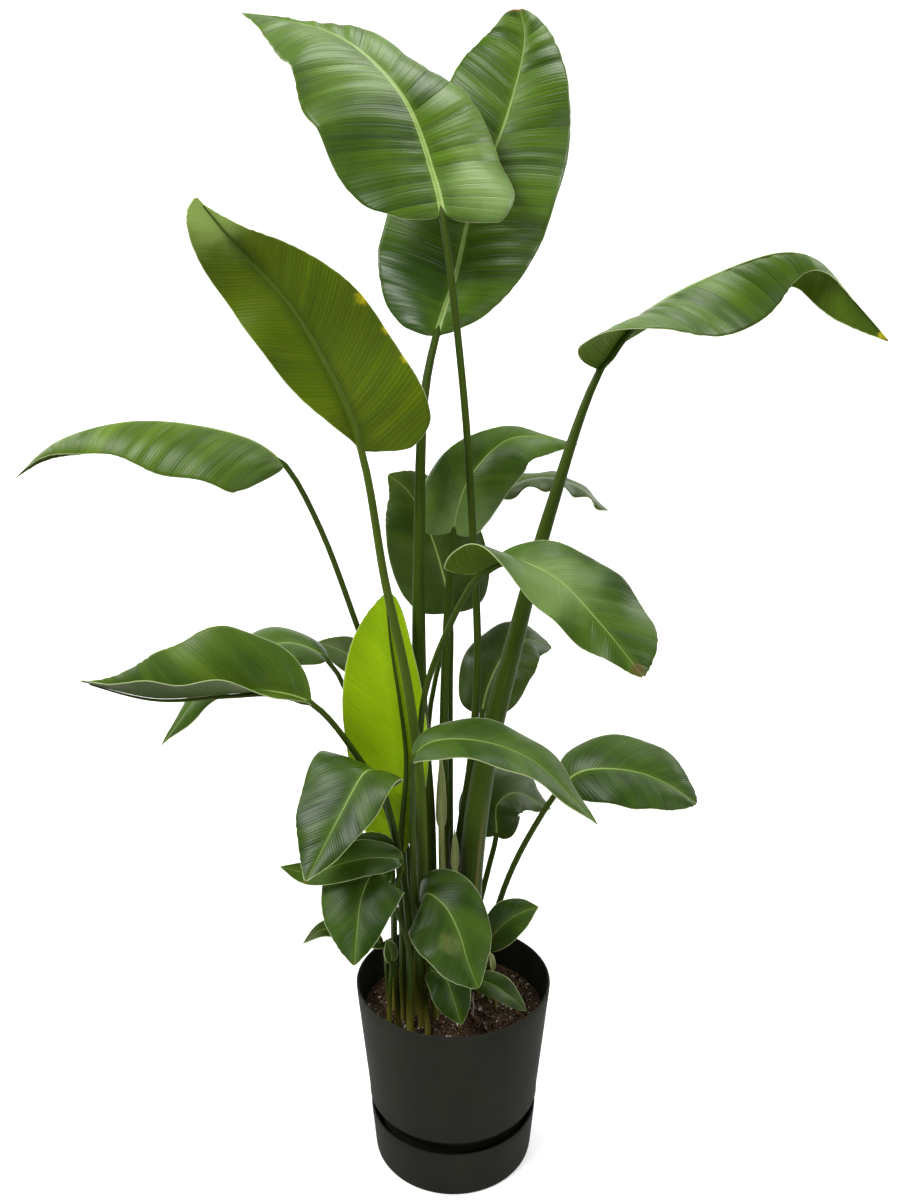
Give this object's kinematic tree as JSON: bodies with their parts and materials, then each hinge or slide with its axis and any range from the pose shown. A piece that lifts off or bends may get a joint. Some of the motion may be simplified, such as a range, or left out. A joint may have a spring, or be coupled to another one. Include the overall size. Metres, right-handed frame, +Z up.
{
  "type": "potted bird of paradise plant",
  "caption": "Tall white bird of paradise floor plant: broad paddle leaves on long stalks in a tapered plastic nursery pot standing in a saucer.",
  "frame": {"origin": "middle of the saucer's flat underside, on the floor, on the axis of the pot", "axes": "+Z up along the pot's axis; -Y towards the side that the picture shows; +X to the right in the picture"},
  "size_m": [1.2053, 0.4491, 1.7046],
  "materials": {
    "pot": "matte",
    "soil": "matte",
    "leaf_green": "satin",
    "leaf_bright": "satin",
    "leaf_lime": "satin",
    "leaf_shaded": "satin",
    "leaf_underside": "satin",
    "sheath": "matte"
  },
  "bodies": {
    "root": {"pot": "pot", "saucer": "pot", "soil": "soil", "leaf_top_left": "leaf_green", "leaf_top_right": "leaf_green", "leaf_left_hooded": "leaf_underside", "leaf_right_arching": "leaf_green", "leaf_left_arching": "leaf_bright", "leaf_centre_back": "leaf_green", "leaf_centre_dark": "leaf_shaded", "leaf_back_crinkled": "leaf_shaded", "leaf_right_middle": "leaf_green", "leaf_lime_upright": "leaf_lime", "leaf_left_trough": "leaf_bright", "leaf_left_behind": "leaf_green", "leaf_left_back_small": "leaf_shaded", "leaf_front_right_arching": "leaf_green", "leaf_right_low": "leaf_green", "leaf_back_frayed": "leaf_shaded", "leaf_back_middle": "leaf_shaded", "leaf_front_left_drooping": "leaf_green", "leaf_left_low": "leaf_green", "leaf_bottom_left": "leaf_green", "leaf_bottom_centre": "leaf_green", "leaf_small_right": "leaf_green", "leaf_small_grey": "leaf_shaded", "leaf_low_front": "leaf_green", "leaf_low_right": "leaf_green", "sprout_front_right": "sheath", "sprout_pot_edge": "leaf_shaded", "sheath_centre": "sheath", "sheath_back": "sheath"}
  },
  "joints": []
}
